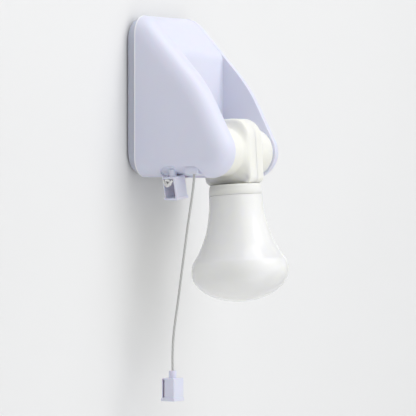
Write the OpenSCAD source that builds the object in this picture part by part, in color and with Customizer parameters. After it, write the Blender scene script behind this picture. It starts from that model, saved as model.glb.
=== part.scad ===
// Cordless wall lamp with a pull-cord switch.
// Frame: +Z up, the wall is the plane Y = 0 and the lamp stands out of it along -Y.
// Side outlines are drawn as (d, z), where d is the distance from the wall.

/* [Housing] */
// Width across the two cheeks
housing_w = 76; // [74:1:80]
// Height of the housing above the origin, and the same below it
half_h = 50; // [48:1:52]
// Distance from the wall to the open back rim
rim_d = 6.5; // [6.5:0.1:7]
// Thickness of the moulded wall
wall_t = 2; // [1.6:0.2:2.2]
// Width of each cheek
cheek_w = 13.4; // [13:0.2:14]
// Rounding of the cheeks' outer edges
edge_r = 12.5; // [8:0.5:12.5]
// Distance from the wall to the face between the cheeks
centre_d = 33.4; // [32:0.2:33.6]
// Radius of the centre face's top edge
centre_r = 7; // [4:1:9]
// Slope of the upper ridge line
ridge_a = 47.5; // [46:0.5:49]
// Slope of the lower ridge line
lobe_a = 62.5; // [60:0.5:65]
// Distance from the origin to the upper ridge line
ridge_off = 42.4; // [42:0.1:43]

/* [Bulb pivot] */
// Distance of the pivot from the wall
pivot_d = 55; // [54.5:0.5:56]
// Height of the pivot
pivot_z = -34.8; // [-35:0.1:-34]
// Radius of the cheeks' round lobes about the pivot
lobe_r = 16.2; // [16:0.1:17]
// Angle of the bulb away from plumb as it is left
bulb_rest_a = 4; // [0:1:8]
// Radius of the knuckle's hollow stubs
stub_r = 5; // [4:0.5:6]

/* [Bulb] */
// Depth of the knuckle block
knuckle_d = 33; // [30:1:34]
// Width of the knuckle block
knuckle_w = 21; // [19:1:24]
// Height of the knuckle block
knuckle_h = 40.4; // [38:0.4:41]
// Largest radius of the globe
globe_r = 30.2; // [28:0.1:30.2]
// Distance from the pivot down to the globe's widest ring
globe_z = 73.75; // [70:0.25:76]
// Depth of the globe's round bottom
dome_h = 18.75; // [16:0.25:22]
// Radius of the globe's neck
neck_r = 16.5; // [16:0.1:17]
// Wall thickness of the globe
globe_t = 1.2; // [1:0.1:1.6]

/* [Wall plate] */
// Width of the wall plate
plate_w = 72; // [66:1:72]
// Height of the wall plate
plate_h = 95; // [88:1:95]
// Thickness of the adhesive pad
pad_t = 1; // [0.5:0.1:1.2]
// Distance from the wall to the plate's front face
plate_d = 5.5; // [5:0.1:5.8]
// Distance between the two screw holes
screw_pitch = 74; // [70:1:78]
// Radius of the screw holes
screw_r = 2.1; // [1.6:0.1:2.4]

/* [Battery tray] */
// Distance between neighbouring cells
cell_pitch = 11.4; // [11:0.1:11.6]
// Radius of a cell
cell_r = 5.25; // [5:0.05:5.25]
// Length of a cell's can
cell_h = 43.3; // [42:0.1:43.5]

/* [Pull cord] */
// Radius of the cord
cord_r = 0.75; // [0.5:0.05:0.8]
// X position of the cord
cord_x = -33; // [-33:0.1:-32.5]
// Radius of the roller to the middle of the cord
wrap_r = 7.75; // [7:0.25:8]
// Height of the roller's axis
roller_z = -28; // [-29:0.5:-27]
// Distance of the front cord exit from the wall
exit_d = 46.55; // [46:0.05:47]

/* [Hidden] */
$fn = 48;
gap = 0.05;                            // running gap on radius
far = 20;                              // how far outlines run past a cut
half_w = housing_w / 2;
cheek_x = half_w - cheek_w;            // inner face of a cheek
plastic = [0.83, 0.84, 0.92];
ivory = [0.92, 0.92, 0.88];
brass = [0.80, 0.66, 0.36];
steel = [0.72, 0.73, 0.75];

// ---- helpers ----

// An outline drawn as (d, z), extruded from x0 to x1
module across(x0, x1) {
    translate([x1, 0, 0]) rotate([90, 0, -90]) linear_extrude(x1 - x0) children();
}

// A rod along X through (d, z)
module x_rod(x0, x1, d, z, r) {
    translate([x0, -d, z]) rotate([0, 90, 0]) cylinder(h = x1 - x0, r = r);
}

// A rod that stands out of the wall from d0 to d1
module y_rod(x, z, d0, d1, r) {
    translate([x, -d0, z]) rotate([90, 0, 0]) cylinder(h = d1 - d0, r = r);
}

// A box between two X, two d and two Z values
module box(x0, x1, d0, d1, z0, z1) {
    translate([x0, -d1, z0]) cube([x1 - x0, d1 - d0, z1 - z0]);
}

// A plate with round corners that faces the wall
module round_plate(w, h, r, d0, d1) {
    translate([0, -d0, 0]) rotate([90, 0, 0]) linear_extrude(d1 - d0)
        polygon(concat(
            arc([w / 2 - r, h / 2 - r], r, 0, 90, 9), arc([r - w / 2, h / 2 - r], r, 90, 180, 9),
            arc([r - w / 2, r - h / 2], r, 180, 270, 9), arc([w / 2 - r, r - h / 2], r, 270, 360, 9)));
}

module both_sides() {
    children();
    mirror([1, 0, 0]) children();
}

function arc(c, r, a0, a1, n) = [for (i = [0:n]) let (a = a0 + (a1 - a0) * i / n) c + r * [cos(a), sin(a)]];
function unit(v) = v / norm(v);
function tangent(p, i) = unit(p[min(i + 1, len(p) - 1)] - p[max(i - 1, 0)]);

// Catmull-Rom point between p[i] and p[i + 1]
function between(p, i, t) =
    let (a = p[max(i - 1, 0)], b = p[i], c = p[i + 1], e = p[min(i + 2, len(p) - 1)])
    b + 0.5 * t * ((c - a) + t * ((2 * a - 5 * b + 4 * c - e) + t * (3 * (b - c) + e - a)));
function smooth_route(p, steps) =
    concat([for (i = [0:len(p) - 2]) for (k = [0:steps - 1]) between(p, i, k / steps)], [p[len(p) - 1]]);

// A tube swept along points; side_dir is never parallel to the route
module tube(p, r, sides, side_dir) {
    rings = len(p);
    polyhedron(
        points = [for (i = [0:rings - 1])
            let (t = tangent(p, i), s = unit(cross(t, side_dir)), n = cross(s, t))
            for (k = [0:sides - 1]) p[i] + r * (cos(360 * k / sides) * s + sin(360 * k / sides) * n)],
        faces = concat(
            [[for (k = [sides - 1:-1:0]) k]],
            [for (i = [0:rings - 2]) for (k = [0:sides - 1])
                let (a = i * sides, b = (k + 1) % sides) [a + k, a + b, a + b + sides, a + k + sides]],
            [[for (k = [0:sides - 1]) (rings - 1) * sides + k]]));
}

// A cubic Bezier curve
function bezier(a, b, c, e, n) = [for (i = [0:n]) let (t = i / n, u = 1 - t)
    u * u * u * a + 3 * u * u * t * b + 3 * u * t * t * c + t * t * t * e];

// ---- housing ----

n1 = [sin(ridge_a), cos(ridge_a)];     // normal of the upper ridge line
n2 = [sin(lobe_a), cos(lobe_a)];       // normal of the lower ridge line
lobe_off = n2 * [pivot_d, pivot_z] + lobe_r;
ridge_det = n1[0] * n2[1] - n1[1] * n2[0];
ridge_corner = [ridge_off * n2[1] - n1[1] * lobe_off, n1[0] * lobe_off - n2[0] * ridge_off] / ridge_det;
bend_r = 100;                          // the two lines blend on this radius
bend_a = 90 - (ridge_a + lobe_a) / 2;
bend_c = ridge_corner - bend_r / cos((lobe_a - ridge_a) / 2) * [cos(bend_a), sin(bend_a)];
top_d = (ridge_off - n1[1] * half_h) / n1[0];

// Side outline of a cheek, run back past the wall
cheek_outline = concat(
    [[-far, half_h], [top_d, half_h]],
    arc(bend_c, bend_r, 90 - ridge_a, 90 - lobe_a, 5),
    arc([pivot_d, pivot_z], lobe_r, 90 - lobe_a, -90, 14),
    [[-far, pivot_z - lobe_r + 1]]);

// Side outline between the cheeks, a shade below their ridges
centre_step = 0.2;
corner_d = centre_d - centre_r;
corner_z = (ridge_off - centre_step - centre_r - n1[0] * corner_d) / n1[1];
centre_outline = concat(
    [[-far, half_h - centre_step], [top_d, half_h - centre_step]],
    arc([corner_d, corner_z], centre_r, 90 - ridge_a, 0, 6),
    [[centre_d, 1 - half_h], [-far, 1 - half_h]]);

// How far the outline draws in at x, t inside the cheek's outer surface
function draw_in(t, x) =
    t + (edge_r - t) * (1 - sin(acos(max(0, 1 - (half_w - t - x) / (edge_r - t)))));

// The right cheek, drawn t inside its outer surface
module cheek(t) {
    r = edge_r - t;
    x = cheek_x + t + 0.5;
    hull() {
        across(cheek_x + t, x) offset(delta = -draw_in(t, x)) polygon(cheek_outline);
        for (a = [0:18:72])
            across(half_w - t - r * (1 - cos(a)) - 0.1, half_w - t - r * (1 - cos(a)))
                offset(delta = -t - r * (1 - sin(a))) polygon(cheek_outline);
    }
}

recess_x = cheek_x + wall_t;           // the arched recess stops at the cheek's inner wall
recess_z = -44;                        // ceiling of the recess
recess_d0 = 22.5;
recess_d1 = 52.5;
recess_r = 5;
stub_end = half_w - 8.5;               // outer end of the knuckle's stubs
tray_boss = [[-29, 40], [29, 40], [-31, -40], [31, -40]];
base_screws = [[42, -10], [42, -19]];  // (d, z) of the screws that hold the switch base

module recess_outline(grow) {
    offset(delta = grow) polygon(concat(
        [[recess_d1, -half_h - far], [recess_d1, recess_z - recess_r]],
        arc([recess_d1 - recess_r, recess_z - recess_r], recess_r, 0, 90, 6),
        arc([recess_d0 + recess_r, recess_z - recess_r], recess_r, 90, 180, 6),
        [[recess_d0, -half_h - far]]));
}

module housing_shell() color(plastic) difference() {
    union() {
        difference() {
            union() {
                both_sides() cheek(0);
                across(-cheek_x - 0.5, cheek_x + 0.5) polygon(centre_outline);
            }
            both_sides() cheek(wall_t);
            across(-recess_x - 0.2, recess_x + 0.2) offset(delta = -wall_t) polygon(centre_outline);
        }
        both_sides() x_rod(cheek_x + 0.5, cheek_x + 2.9, pivot_d, pivot_z, stub_r + 3);
        intersection() {
            mirror([1, 0, 0]) cheek(wall_t / 2);
            across(-half_w, -cheek_x - 0.5) recess_outline(wall_t);
        }
        for (p = tray_boss) y_rod(p[0], p[1], rim_d + 2.2, 15, 3);
        both_sides() box(31, half_w - 1, rim_d + 2.2, 14.5, -40.8, -39.2);
    }
    box(-half_w - 1, half_w + 1, -far - 1, rim_d, -half_h - 5, half_h + 5);
    both_sides() x_rod(cheek_x - 1, cheek_x + 5, pivot_d, pivot_z, stub_r + gap);
    across(-half_w - 1, -recess_x) recess_outline(0);
    box(-recess_x - 1, 1.4 - recess_x, 24.5, 38, -60, -48);  // notch that clears the stop knob
    for (d = [exit_d, exit_d - 2 * wrap_r]) translate([cord_x, -d, recess_z - 1]) cylinder(h = 5, r = 2.5);
    for (p = tray_boss) y_rod(p[0], p[1], rim_d + 2, 13, 1.05);
    for (p = base_screws) x_rod(-recess_x - 1, -cheek_x - 0.3, p[0], p[1], 0.9);
}

// ---- wall plate ----

hook_x = [-30.5, 30.5];
hook_z = [28, -2];
hook_w = 6;
bar_d1 = rim_d + 2.1;                  // front face of the tray's back plate, which hangs on the hooks

module wall_plate() color(plastic) difference() {
    union() {
        round_plate(plate_w, plate_h, 13, pad_t, plate_d);
        for (x = hook_x) for (z = hook_z) {
            box(x - hook_w / 2, x + hook_w / 2, plate_d - 0.5, bar_d1 + 2.2, z - 3, z);
            box(x - hook_w / 2, x + hook_w / 2, bar_d1 + 0.4, bar_d1 + 2.2, z - 0.5, z + 5);
        }
    }
    for (z = [-1, 1] * screw_pitch / 2) {
        y_rod(0, z, 0, plate_d + 1, screw_r);
        translate([0, 2.1 - plate_d, z]) rotate([90, 0, 0])
            cylinder(h = 2.2, r1 = screw_r, r2 = screw_r + 2.2);
    }
}

module adhesive_pad() color([0.93, 0.93, 0.90]) round_plate(56, 62, 6, 0, pad_t);

// ---- battery tray ----

tray_d0 = rim_d + 0.1;                 // back face of the tray
tray_d1 = bar_d1;
cell_d = tray_d1 + 0.2 + cell_r;       // distance of the cells' axes from the wall
cell_z0 = -11.5;
well_z0 = cell_z0 - 4;
well_z1 = cell_z0 + cell_h + 3.2;
well_w = 4 * cell_pitch + 0.8;
well_d = cell_d + cell_r + 0.4;
function cell_x(i) = (i - 1.5) * cell_pitch;

module battery_tray() color(plastic) difference() {
    union() {
        round_plate(plate_w - 1, plate_h - 2, 12, tray_d0, tray_d1);
        box(-well_w / 2 - 1.4, well_w / 2 + 1.4, tray_d0, well_d + 1.4, well_z0 - 1.4, well_z1 + 1.4);
    }
    box(-well_w / 2, well_w / 2, 0, well_d, well_z0, well_z1);
    for (x = hook_x) for (z = hook_z)
        box(x - hook_w / 2 - 0.4, x + hook_w / 2 + 0.4, 0, tray_d1 + 1, z - 15.5, z + 0.05);
    for (p = tray_boss) y_rod(p[0], p[1], 0, tray_d1 + 1, 1.4);
}

module tray_screws() color(steel) for (p = tray_boss) {
    y_rod(p[0], p[1], tray_d0 - 0.9, tray_d0, 2.4);
    y_rod(p[0], p[1], tray_d0, 12.5, 1.0);
}

module cell(i) color([0.35, 0.55, 0.45]) translate([cell_x(i), -cell_d, 0]) {
    up = i % 2 == 0;
    translate([0, 0, cell_z0]) cylinder(h = cell_h, r = cell_r);
    translate([0, 0, up ? cell_z0 + cell_h : cell_z0 - 1]) cylinder(h = 1, r = 1.9);
}
module cell_1() cell(0);
module cell_2() cell(1);
module cell_3() cell(2);
module cell_4() cell(3);

// Conical spring at each cell's flat end
spring_r = 1.6;                        // radius of its first turn; it ends at twice that
function cell_spring(i, turns) = [for (k = [0:turns * 12])
    let (
        s = k / turns / 12,
        r = spring_r * (1 + s),
        low = cell_z0 - 0.4 - 2.9 * s,
        high = cell_z0 + cell_h + 0.3 + 2.1 * s)
    [cell_x(i) + r * cos(30 * k), -cell_d + r * sin(30 * k), i % 2 == 0 ? low : high]];
module cell_springs() color(steel) for (i = [0:3]) tube(cell_spring(i, 3), 0.25, 6, [0, 0, 1]);

module cell_contacts() color(brass) {
    for (z = [well_z0, well_z1 - 0.4]) for (i = [0:3])
        box(cell_x(i) - 4.4, cell_x(i) + 4.4, cell_d - 4, cell_d + 4, z + 0.02, z + 0.38);
}

// ---- switch in the left cheek ----

lever_d = 20;                          // distance of the lever's pin from the wall
roller_d = exit_d - wrap_r;
base_x1 = -recess_x - 0.2;             // the base stands against the cheek's inner wall
base_x0 = base_x1 - 1.6;
lever_x1 = base_x0 - 0.4;
lever_x0 = lever_x1 - 1.5;
roller_x0 = cord_x - 2;
rotor_x0 = -35;
rotor_x1 = lever_x0 - 0.7;
pin_r = 1.5;
rotor_r = 6.6;
spring_d = 26.5;
spring_top = -9;

module switch_base() color([0.85, 0.86, 0.88]) difference() {
    union() {
        box(base_x0, base_x1, 13, 45, -37, -6);
        box(-35.4, base_x1, 13, 17, -11, -6);
        box(lever_x0 - 0.5, base_x1, 24, 29, spring_top + 0.1, -6);
        box(-35.4, base_x1, 9.9, 13, -34, -24);
    }
    x_rod(-40, 0, lever_d, roller_z, pin_r);
    for (p = base_screws) x_rod(-40, 0, p[0], p[1], 0.9);
}

module switch_screws() color(steel) for (p = base_screws) {
    x_rod(base_x0 - 0.9, base_x0, p[0], p[1], 1.7);
    x_rod(base_x0, -cheek_x - 0.5, p[0], p[1], 0.85);
}

module fixed_contacts() color(brass) {
    box(-34.2, -31.8, 13.2, 22.5, roller_z + rotor_r + 1.6, roller_z + rotor_r + 2.0);
    box(-34.2, -31.8, 13.2, 13.6, roller_z + rotor_r + 2, -11);
    box(-34.2, -31.8, 13.0, 13.3, roller_z - 6, roller_z + 4);
}

module lever_pin() color(steel) x_rod(rotor_x0 - 0.6, base_x1, lever_d, roller_z, pin_r);

module switch_lever() color([0.80, 0.80, 0.84]) difference() {
    union() {
        x_rod(lever_x0, lever_x1, lever_d, roller_z, 4);
        x_rod(lever_x0, lever_x1, roller_d, roller_z, 3.2);
        box(lever_x0, lever_x1, lever_d, roller_d, roller_z - 2.2, roller_z + 2.2);
        box(lever_x0, lever_x1, spring_d - 1, spring_d + 1, roller_z + 2, roller_z + 3.4);
    }
    x_rod(-40, 0, lever_d, roller_z, pin_r + gap);
}

module roller_pin() color(steel) x_rod(roller_x0 - 0.7, lever_x0, roller_d, roller_z, pin_r);

module lever_roller() color([0.90, 0.90, 0.90]) translate([roller_x0, -roller_d, roller_z]) rotate([0, 90, 0])
    rotate_extrude() polygon([
        [pin_r + gap, 0], [wrap_r + 1.1, 0], [wrap_r + 1.1, 0.5], [wrap_r - cord_r - 0.2, 1.2],
        [wrap_r - cord_r - 0.2, 2.8], [wrap_r + 1.1, 3.5], [wrap_r + 1.1, 4], [pin_r + gap, 4]]);

// Ratchet wheel with eight teeth
module ratchet_rotor() color([0.88, 0.80, 0.62]) difference() {
    across(rotor_x0, rotor_x1) translate([lever_d, roller_z])
        polygon([for (k = [0:7]) for (s = [0, 1])
            (s == 0 ? rotor_r : rotor_r - 1.2) * [cos(45 * k + 3 * s), sin(45 * k + 3 * s)]]);
    x_rod(-40, 0, lever_d, roller_z, pin_r + gap);
}

module moving_contact() color(brass) difference() {
    x_rod(rotor_x0 - 0.4, rotor_x0, lever_d, roller_z, 4.2);
    x_rod(-40, 0, lever_d, roller_z, pin_r + gap);
    for (s = [-1, 1]) translate([0, -lever_d, roller_z]) box(-40, 0, s * 5 - 2.6, s * 5 + 2.6, -5, 5);
}

// Close-wound spring that lifts the lever
spring_z0 = roller_z + 3.5;
spring_turns = 8;
function lift_spring() = [for (k = [0:spring_turns * 8])
    [(lever_x0 + lever_x1) / 2 + 0.85 * cos(45 * k), -spring_d + 0.85 * sin(45 * k),
     spring_z0 + 0.25 + (spring_top - spring_z0 - 0.5) * k / spring_turns / 8]];
module return_spring() color(steel) tube(lift_spring(), 0.22, 6, [0, 0, 1]);

// A bush with a collar below the recess ceiling
module cord_bush(d, collar_h) difference() {
    union() {
        translate([cord_x, -d, recess_z - 0.5]) cylinder(h = 3.9, r = 2.4);
        children();
    }
    translate([cord_x, -d, recess_z - collar_h - 1]) cylinder(h = collar_h + 6, r = cord_r + 0.15);
}

bush_drop = 4.6;
module front_cord_bush() color(plastic) cord_bush(exit_d, bush_drop) intersection() {
    box(cord_x - 2.6, cord_x + 2.6, exit_d - 5.4, exit_d + 4, recess_z - bush_drop, recess_z);
    across(cord_x - 3, cord_x + 3) recess_outline(-0.02);
}
module rear_cord_bush() color(plastic) cord_bush(exit_d - 2 * wrap_r, 1)
    translate([cord_x, 2 * wrap_r - exit_d, recess_z - 1]) cylinder(h = 1, r = 3.4);

// ---- cord and its knobs ----

cord_top = -33;                        // the moving cord starts here, inside the housing
// Route of the hanging cord as (d, z)
cord_route = [
    [46.55, -33], [46.55, -41], [46.55, -48.5], [45.9, -56], [44.7, -64], [43.4, -72], [42, -80],
    [40.8, -88], [39.6, -96], [38.4, -104], [37.2, -112], [36, -120], [34.8, -128], [33.5, -136],
    [32.3, -144], [31.5, -152], [31.2, -160], [31.2, -168], [31.2, -176]];
knob_w = 12.5;
knob_d = 9.5;
knob_h = 14.3;
knob_t = 1.2;
boss_h = 4.4;
function in_cord_plane(p) = [cord_x, -p[0], p[1]];

module pull_cord() color([0.93, 0.93, 0.92])
    tube(smooth_route([for (p = cord_route) in_cord_plane(p)], 2), cord_r, 8, [1, 0, 0]);

// The still end of the cord, from the stop knob over the roller
stop_z = recess_z - 1.5;               // the stop knob's boss comes up to here
knot_drop = boss_h + knob_t + 1.2;     // from the boss's top to where the knot grips the cord
rear_d = exit_d - 2 * wrap_r;          // the still end comes down this far from the wall
stop_turn = [-3, -10, 0];              // how the stop knob is cocked
stop_yaw = 70;
stop_dir = [
    -sin(stop_turn[1]) * cos(stop_turn[0]),
    sin(stop_turn[0]),
    -cos(stop_turn[0]) * cos(stop_turn[1])];
module cord_loop() color([0.93, 0.93, 0.92]) tube(concat(
    [for (s = [knot_drop, 3, 0.2]) in_cord_plane([rear_d, stop_z]) + s * stop_dir],
    [for (z = [recess_z + 1, -39, -34]) in_cord_plane([rear_d, z])],
    [for (p = arc([roller_d, roller_z], wrap_r, 180, 0, 14)) in_cord_plane(p)],
    [in_cord_plane([exit_d, -30.5]), in_cord_plane([exit_d, cord_top])]), cord_r, 8, [1, 0, 0]);

// Box with one open side, hung from the top of its boss at the origin; it opens toward +Y
lip_h = 2;                             // height of the lip round the knob's bottom
lip_out = 0.3;                         // how far the lip stands out
module knob() difference() {
    union() {
        translate([0, 0, -boss_h - 0.5]) cylinder(h = boss_h + 0.5, r = 2.4);
        knob_block(lip_out, knob_h);
        knob_block(0, lip_h);
    }
    translate([0, 0, -20]) cylinder(h = 30, r = cord_r + 0.15);
    translate([lip_out + knob_t - knob_w / 2, lip_out + knob_t - knob_d / 2, knob_t - boss_h - knob_h])
        cube([knob_w - 2 * (knob_t + lip_out), knob_d, knob_h - 2 * knob_t]);
}
module knob_block(inset, h) translate([inset - knob_w / 2, inset - knob_d / 2, -boss_h - knob_h])
    cube([knob_w - 2 * inset, knob_d - 2 * inset, h]);

knob_z = -169.2;                       // top of the pull knob's boss
module pull_knob() color(plastic) translate([cord_x, -31.2, knob_z]) knob();
module knot_turn(r) rotate_extrude($fn = 24) translate([r, 0]) circle(r = 0.7, $fn = 16);
module pull_knot() color([0.90, 0.90, 0.88]) translate([cord_x, -31.2, -177.2]) union() {
    sphere(r = 1.9, $fn = 24);
    rotate([20, 70, 0]) knot_turn(1.5);
}

// The stop knob is held up against the recess, turned and cocked by the cord
module at_stop() translate(in_cord_plane([rear_d, stop_z])) rotate(stop_turn) rotate([0, 0, stop_yaw])
    children();
module stop_knob() color(plastic) at_stop() knob();
module stop_knot() color([0.90, 0.90, 0.88]) at_stop() translate([0, 0.4, -knot_drop - 1]) union() {
    sphere(r = 1.9, $fn = 24);
    translate([-2, 1.2, -0.6]) rotate([70, 0, 20]) knot_turn(1.9);
}

// Two leads from the tray to the switch and to the hollow stub
lead_a = [
    [-16, -21.9, 30], [-20, -24, 27], [-23.5, -25, 18], [-24, -25, 6], [-24, -24, -4],
    [-24.4, -23, -13], [-26.1, -22.5, -22]];
lead_b = [
    [-10, -21.9, 30], [-14, -26, 26], [-20, -28, 14], [-24.5, -29, 2], [-24.8, -29, -12],
    [-26.1, -28.5, -22]];
module wires() {
    color("firebrick") tube(smooth_route(lead_a, 3), 0.6, 6, [1, 0, 0]);
    color([0.15, 0.15, 0.16]) tube(smooth_route(lead_b, 3), 0.6, 6, [1, 0, 0]);
}

// ---- bulb, drawn plumb about the pivot and then tilted ----

module at_pivot() translate([0, -pivot_d, pivot_z]) rotate([-bulb_rest_a, 0, 0]) children();

// Side outline of the knuckle block about the pivot, drawn as (d, z)
knuckle_top_r = 12;
knuckle_low_r = 4;
block_y = knuckle_d / 2;
block_z = knuckle_h / 2;
knuckle_outline = concat(
    arc([block_y - knuckle_top_r, block_z - knuckle_top_r], knuckle_top_r, 0, 90, 9),
    arc([knuckle_top_r - block_y, block_z - knuckle_top_r], knuckle_top_r, 90, 180, 9),
    arc([knuckle_low_r - block_y, knuckle_low_r - block_z], knuckle_low_r, 180, 270, 4),
    arc([block_y - knuckle_low_r, knuckle_low_r - block_z], knuckle_low_r, 270, 360, 4));
hub_r = 15;
hub_x = cheek_x - 0.3;
neck_z = -block_z;
post_at = [[-11, 13], [11, -14]];

// The right half of the knuckle; the screws' heads are sunk where through is true, and end blind if not
module knuckle_half(through) difference() {
    union() {
        difference() {
            union() {
                across(0.02, knuckle_w / 2) polygon(knuckle_outline);
                x_rod(knuckle_w / 2 - 0.5, hub_x, 0, 0, hub_r);
                x_rod(hub_x - 1, stub_end, 0, 0, stub_r);
            }
            across(-1, knuckle_w / 2 - 2) offset(delta = -2) polygon(knuckle_outline);
            x_rod(0, hub_x - 2, 0, 0, hub_r - 2.2);
        }
        for (p = post_at) x_rod(0.02, knuckle_w / 2 - 1, p[0], p[1], 2.4);
    }
    x_rod(-1, stub_end + 1, 0, 0, 3.2);
    translate([0, 0, neck_z - 1]) cylinder(h = 5, r = 8);
    for (p = post_at) {
        x_rod(-1, knuckle_w / 2 - 1.6, p[0], p[1], 1.1);
        if (through) x_rod(knuckle_w / 2 - 2.2, knuckle_w / 2 + 1, p[0], p[1], 2.05);
    }
    difference() {
        x_rod(stub_end - 2, stub_end - 1.2, 0, 0, stub_r + 1);
        x_rod(stub_end - 3, stub_end, 0, 0, stub_r - 0.6);
    }
}
module knuckle_right() color(ivory) at_pivot() knuckle_half(true);
module knuckle_left() color(ivory) at_pivot() mirror([1, 0, 0]) knuckle_half(false);

module knuckle_screws() color(steel) at_pivot() for (p = post_at) {
    x_rod(knuckle_w / 2 - 2.1, knuckle_w / 2 - 0.8, p[0], p[1], 1.95);
    x_rod(2 - knuckle_w / 2, knuckle_w / 2 - 2.1, p[0], p[1], 1.0);
}

module pivot_clips() color(steel) at_pivot() both_sides() difference() {
    x_rod(stub_end - 1.9, stub_end - 1.3, 0, 0, stub_r + 1.8);
    x_rod(stub_end - 3, stub_end, 0, 0, stub_r - 0.55);
    box(0, 40, -2.5, 2.5, -10, 0);
}

collar_h = 6.6;
module neck_collar() color(ivory) at_pivot() rotate_extrude() polygon([
    [neck_r - 2.4, neck_z - 0.05], [neck_r - 1.3, neck_z - 0.05], [neck_r - 0.2, neck_z - 3],
    [neck_r, neck_z - collar_h], [neck_r - 1.6, neck_z - collar_h], [neck_r - 1.6, neck_z - 1.4],
    [neck_r - 2.4, neck_z - 1.4]]);

// Half outline of the globe as (radius, height below the pivot), t inside the outer surface
function globe_outline(t) = concat(
    bezier([neck_r - t, collar_h - neck_z + 0.05 + 1.2 * t], [neck_r + 0.3 - t, 48],
        [globe_r - 6.7 - t, 60], [globe_r - 1.3 - t, 67.5 - 0.3 * t], 8),
    [[globe_r - 0.4 - t, 70.4]],
    [for (a = [0:7.5:82.5]) [(globe_r - t) * cos(a), globe_z + (dome_h - t) * sin(a)]],
    [[0, globe_z + dome_h - t]]);
function downward(p) = [for (q = p) [q[0], -q[1]]];
function reversed(p) = [for (i = [len(p) - 1:-1:0]) p[i]];
spigot_r = neck_r - 1.65;              // outer radius of the globe's spigot inside the collar
spigot_z = neck_z - collar_h - 0.05;
module globe() color(ivory) at_pivot() rotate_extrude($fn = 64) polygon(concat(
    [[spigot_r - globe_t, neck_z - 1.5], [spigot_r, neck_z - 1.5], [spigot_r, spigot_z]],
    downward(globe_outline(0)), reversed(downward(globe_outline(globe_t))),
    [[spigot_r - globe_t, spigot_z - 1.2 * globe_t]]));

holder_r = neck_r - 3;
module led_holder() color([0.86, 0.86, 0.84]) at_pivot() rotate_extrude() polygon([
    [holder_r - 3, neck_z - 0.1], [holder_r - 2.5, neck_z - 9.5], [holder_r, neck_z - 9.5],
    [holder_r, neck_z - 8], [holder_r - 1, neck_z - 8], [holder_r - 1.6, neck_z - 1.6],
    [holder_r - 1.6, neck_z - 0.1]]);
module led_board() color([0.90, 0.92, 0.90]) at_pivot()
    translate([0, 0, neck_z - 10.8]) cylinder(h = 1.2, r = holder_r);
module leds() color([0.95, 0.90, 0.60]) at_pivot() for (k = [0:5])
    rotate([0, 0, 60 * k]) translate([8, 0, neck_z - 12]) {
        translate([-1.4, -1.75, 0]) cube([2.8, 3.5, 1.1]);
    }

bulb_lead = [
    [-27, 0, 0.8], [-18, 0, 0.8], [-9, 0, 0.4], [-4, 0, -3], [-2.4, 0.4, -10], [-3, 0.6, -20],
    [-3, 0, -29.75]];
module bulb_wires() at_pivot() for (s = [-1, 1])
    color(s < 0 ? "firebrick" : "black") translate([0, s * 0.9, 0])
        tube(smooth_route(bulb_lead, 3), 0.6, 6, [0, 1, 0]);

wall_plate();
adhesive_pad();
housing_shell();
battery_tray();
tray_screws();
cell_1();
cell_2();
cell_3();
cell_4();
cell_springs();
cell_contacts();
switch_base();
switch_screws();
fixed_contacts();
lever_pin();
return_spring();
front_cord_bush();
rear_cord_bush();
cord_loop();
stop_knob();
stop_knot();
wires();
switch_lever();
roller_pin();
lever_roller();
ratchet_rotor();
moving_contact();
pull_cord();
pull_knob();
pull_knot();
knuckle_left();
knuckle_right();
knuckle_screws();
pivot_clips();
neck_collar();
globe();
led_holder();
led_board();
leds();
bulb_wires();
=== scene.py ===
import math

import bmesh
import bpy
import numpy as np
from mathutils import Matrix, Vector


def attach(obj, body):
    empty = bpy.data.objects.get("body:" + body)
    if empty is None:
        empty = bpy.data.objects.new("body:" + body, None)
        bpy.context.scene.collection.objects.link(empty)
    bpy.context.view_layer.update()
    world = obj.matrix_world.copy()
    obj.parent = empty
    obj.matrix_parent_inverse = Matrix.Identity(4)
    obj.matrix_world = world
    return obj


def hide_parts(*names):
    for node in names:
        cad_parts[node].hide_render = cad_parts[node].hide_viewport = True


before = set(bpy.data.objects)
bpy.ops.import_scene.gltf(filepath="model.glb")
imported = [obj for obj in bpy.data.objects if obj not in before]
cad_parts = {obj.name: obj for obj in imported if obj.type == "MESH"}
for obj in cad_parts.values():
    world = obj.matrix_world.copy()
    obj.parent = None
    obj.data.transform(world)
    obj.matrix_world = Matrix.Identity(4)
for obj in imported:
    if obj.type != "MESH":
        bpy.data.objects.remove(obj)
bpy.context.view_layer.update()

MM = 0.001
scene = bpy.context.scene
scene.view_settings.view_transform = "Standard"

# ---- camera ----

CAM_AIM = Vector((16.1, -27.9, -69.4)) * MM
CAM_SIDE = Vector((-0.866, -0.5, 0.0))
CAM_DISTANCE = 2.47
CAM_LENS = 342
camera = bpy.data.objects.new("camera", bpy.data.cameras.new("camera"))
scene.collection.objects.link(camera)
camera.data.lens = CAM_LENS
camera.data.sensor_width = 36
camera.data.clip_start = 0.1
camera.data.clip_end = 30
camera.location = CAM_AIM + CAM_SIDE * CAM_DISTANCE
camera.rotation_mode = "QUATERNION"
camera.rotation_quaternion = (-CAM_SIDE).to_track_quat("-Z", "Y")
scene.camera = camera


# ---- materials ----

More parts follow.
